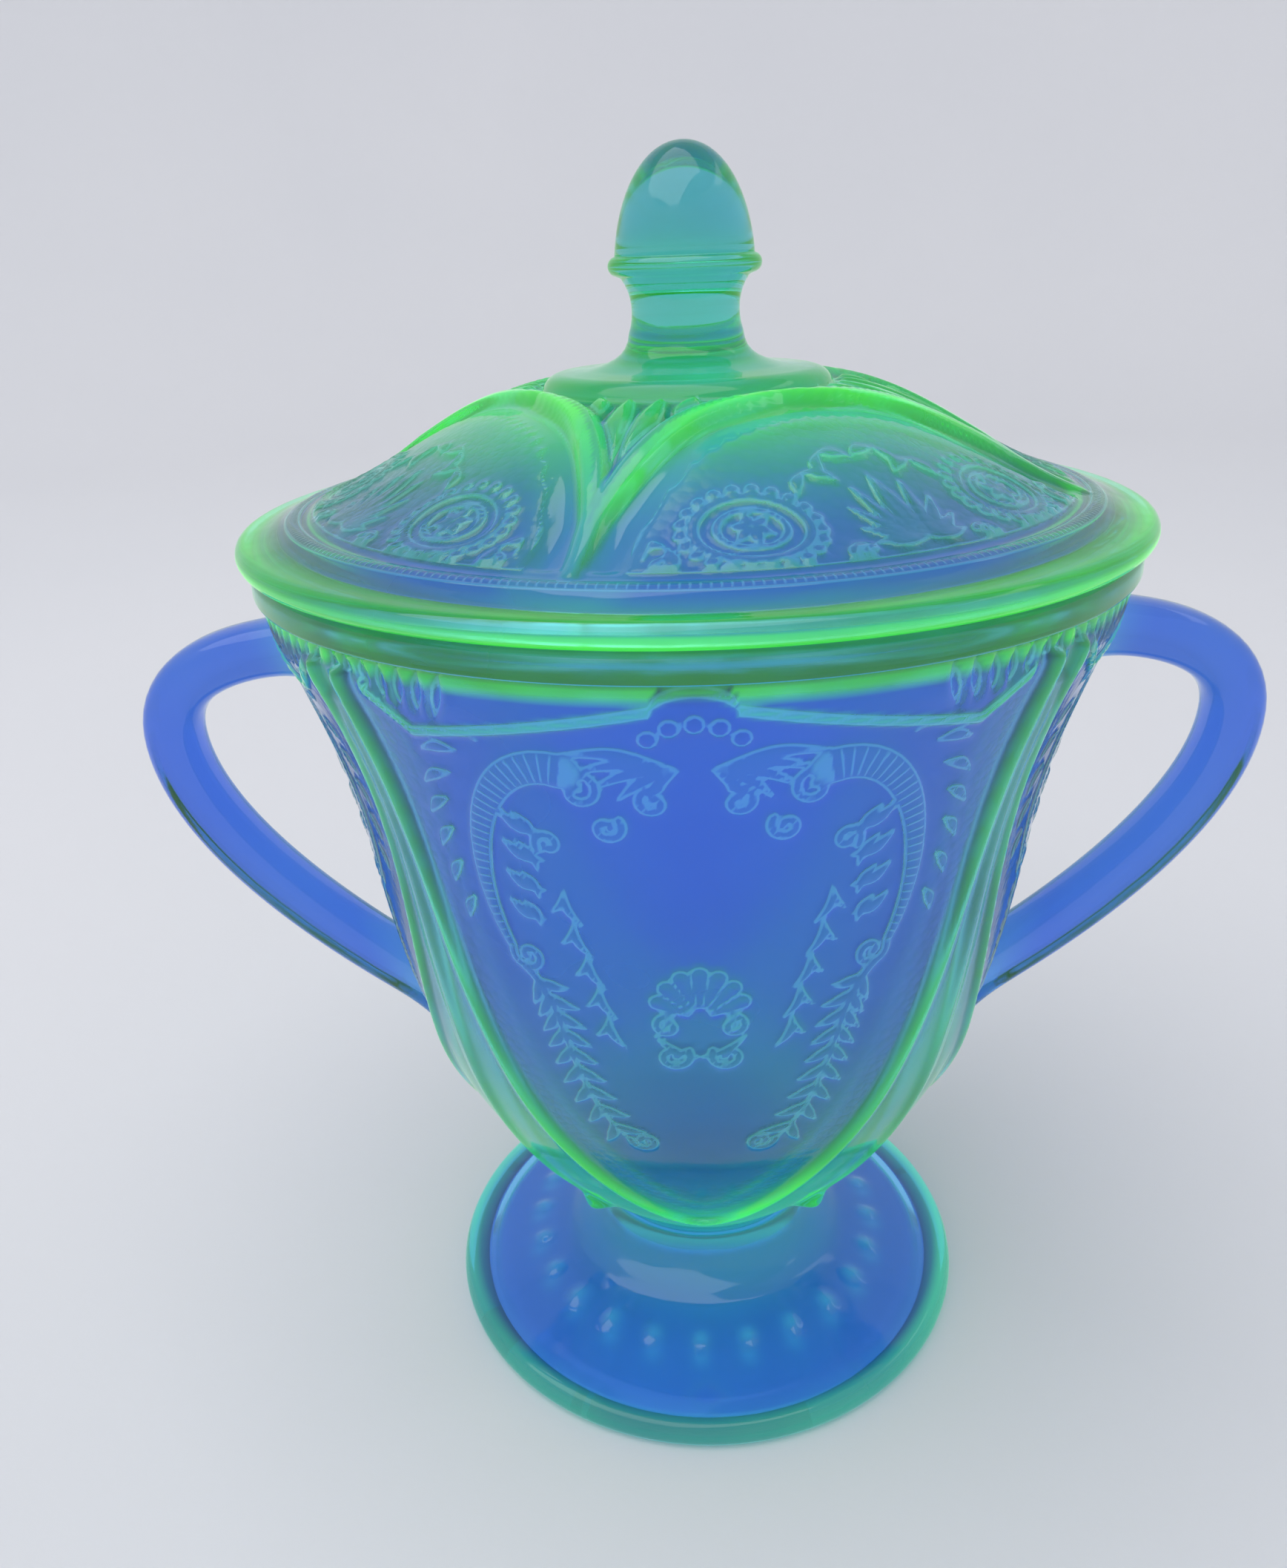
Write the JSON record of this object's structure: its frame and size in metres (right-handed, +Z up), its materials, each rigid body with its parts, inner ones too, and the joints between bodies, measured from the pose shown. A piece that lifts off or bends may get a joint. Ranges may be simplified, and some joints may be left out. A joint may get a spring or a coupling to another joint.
{
  "type": "covered sugar bowl",
  "caption": "Footed round glass bowl with a handle on each side and a loose domed lid with an acorn-shaped finial, pressed in glowing green-blue uranium glass.",
  "frame": {"origin": "on the surface that the foot stands on, under the middle of the bowl", "axes": "+Z up along the bowl's axis; the two handles lie along X, handle_right on +X; -Y is the front"},
  "size_m": [0.143, 0.105, 0.1535],
  "materials": {
    "bowl_glass": "fire-polished pressed uranium glass, blue-green in thin walls and bright green at edges and ridges",
    "lid_glass": "fire-polished pressed uranium glass, teal-green in thin walls and bright green at edges and ridges"
  },
  "bodies": {
    "bowl": {"bowl": "bowl_glass", "foot": "bowl_glass", "handle_left": "bowl_glass", "handle_right": "bowl_glass"},
    "lid": {"lid": "lid_glass", "finial": "lid_glass"}
  },
  "joints": [
    {"name": "lid_lift", "type": "slide", "parent": "bowl", "child": "lid", "axis": [0, 0, 1], "range_m": [0, 0.08]}
  ]
}
